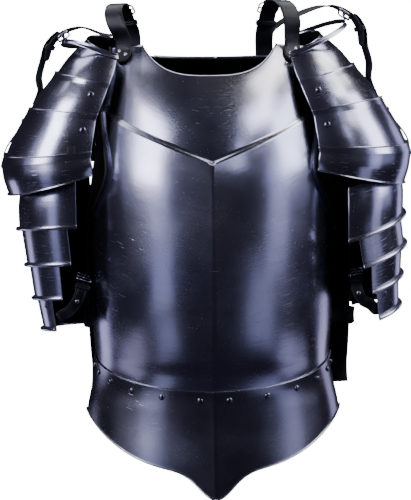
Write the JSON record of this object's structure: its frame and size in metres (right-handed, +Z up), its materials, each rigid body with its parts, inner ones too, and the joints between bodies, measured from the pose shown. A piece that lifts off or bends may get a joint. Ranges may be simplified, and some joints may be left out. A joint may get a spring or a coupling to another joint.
{
  "type": "steel breastplate",
  "caption": "Polished steel cuirass with a riveted waist skirt, overlapping shoulder and upper-arm lames, and black leather straps with buckles.",
  "frame": {"origin": "midway between the shoulders on the shoulder line, where the shoulder straps rest on the wearer or a stand", "axes": "+Z up as worn, the front faces -Y, +X is the wearer's left"},
  "size_m": [0.6011, 0.3008, 0.7031],
  "materials": {
    "polished_steel": "polished steel, slightly brushed, with a blue tint",
    "black_leather": "smooth black leather with a soft sheen"
  },
  "bodies": {
    "root": {"backplate": "polished_steel", "breastplate": "polished_steel", "fauld": "polished_steel", "fauld_rivet_1": "polished_steel", "fauld_rivet_10": "polished_steel", "fauld_rivet_11": "polished_steel", "fauld_rivet_12": "polished_steel", "fauld_rivet_2": "polished_steel", "fauld_rivet_3": "polished_steel", "fauld_rivet_4": "polished_steel", "fauld_rivet_5": "polished_steel", "fauld_rivet_6": "polished_steel", "fauld_rivet_7": "polished_steel", "fauld_rivet_8": "polished_steel", "fauld_rivet_9": "polished_steel", "left_arm_buckle": "polished_steel", "left_arm_lame_1": "polished_steel", "left_arm_lame_2": "polished_steel", "left_arm_lame_3": "polished_steel", "left_arm_lame_4": "polished_steel", "left_arm_strap": "black_leather", "left_cop_lame_1": "polished_steel", "left_cop_lame_2": "polished_steel", "left_cop_lame_3": "polished_steel", "left_cop_lame_4": "polished_steel", "left_cop_rivet_1": "polished_steel", "left_cop_rivet_2": "polished_steel", "left_hanger_billet": "black_leather", "left_hanger_buckle": "polished_steel", "left_hanger_strap": "black_leather", "left_inner_leather_centre": "black_leather", "left_inner_leather_front": "black_leather", "left_inner_leather_rear": "black_leather", "left_shoulder_buckle": "polished_steel", "left_shoulder_strap": "black_leather", "left_side_strap": "black_leather", "left_top_lame": "polished_steel", "right_arm_buckle": "polished_steel", "right_arm_lame_1": "polished_steel", "right_arm_lame_2": "polished_steel", "right_arm_lame_3": "polished_steel", "right_arm_lame_4": "polished_steel", "right_arm_strap": "black_leather", "right_cop_lame_1": "polished_steel", "right_cop_lame_2": "polished_steel", "right_cop_lame_3": "polished_steel", "right_cop_lame_4": "polished_steel", "right_cop_rivet_1": "polished_steel", "right_cop_rivet_2": "polished_steel", "right_hanger_billet": "black_leather", "right_hanger_buckle": "polished_steel", "right_hanger_strap": "black_leather", "right_inner_leather_centre": "black_leather", "right_inner_leather_front": "black_leather", "right_inner_leather_rear": "black_leather", "right_shoulder_buckle": "polished_steel", "right_shoulder_strap": "black_leather", "right_side_strap": "black_leather", "right_top_lame": "polished_steel"}
  },
  "joints": []
}
